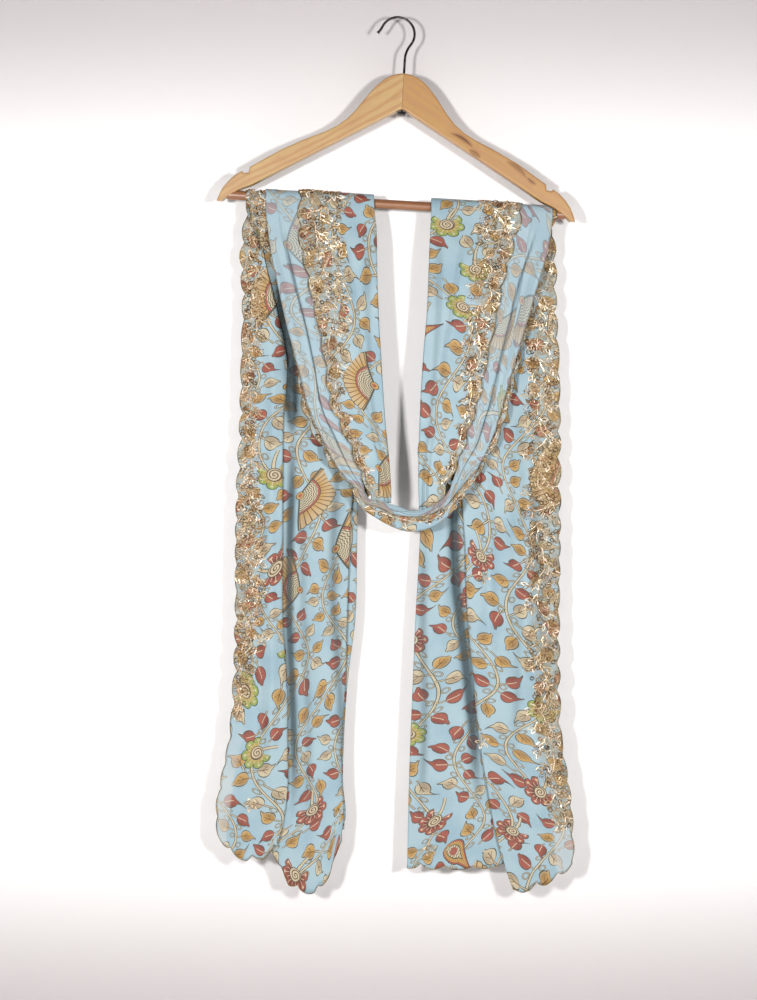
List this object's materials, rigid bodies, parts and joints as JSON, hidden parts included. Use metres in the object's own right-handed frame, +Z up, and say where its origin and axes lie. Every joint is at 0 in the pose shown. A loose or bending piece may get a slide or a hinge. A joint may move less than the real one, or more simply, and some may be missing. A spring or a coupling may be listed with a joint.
{
  "type": "dupatta stole hung in a swag on a wooden hanger",
  "caption": "Printed chiffon stole with gold embroidered scalloped borders, draped in a swag over the bar of a wooden hanger with a wire hook.",
  "frame": {"origin": "the inside top of the hook, where the hanger hangs", "axes": "+Z up along the hanging cloth, +X to the viewer's right along the bar, -Y out of the front where the swag hangs"},
  "size_m": [0.438, 0.0551, 1.0701],
  "materials": {
    "pale_wood": "pale hardwood with a thin clear satin lacquer, darker streaks on one arm",
    "bar_wood": "reddish brown turned dowel, satin",
    "dark_steel": "dark plated steel wire, slightly worn",
    "printed_chiffon": "light blue printed chiffon, vines and leaves in maroon, ochre, cream and green, paler on the reverse",
    "gold_embroidery": "gold and champagne tube beads and thread in leaf sprays, glinting"
  },
  "bodies": {
    "root": {"hanger_arm_left": "pale_wood", "hanger_arm_right": "pale_wood", "hanger_bar": "bar_wood", "hanger_hook": "dark_steel", "hanger_nut": "dark_steel", "tail_left": "printed_chiffon", "tail_right": "printed_chiffon", "swag_back": "printed_chiffon", "swag_band": "printed_chiffon", "swag_turnup": "printed_chiffon", "flap_left": "printed_chiffon", "flap_right": "printed_chiffon", "border_tail_left": "gold_embroidery", "border_tail_right": "gold_embroidery", "border_back_left": "gold_embroidery", "border_back_right": "gold_embroidery", "border_turnup": "gold_embroidery", "border_flap_left": "gold_embroidery", "border_flap_right": "gold_embroidery"}
  },
  "joints": []
}
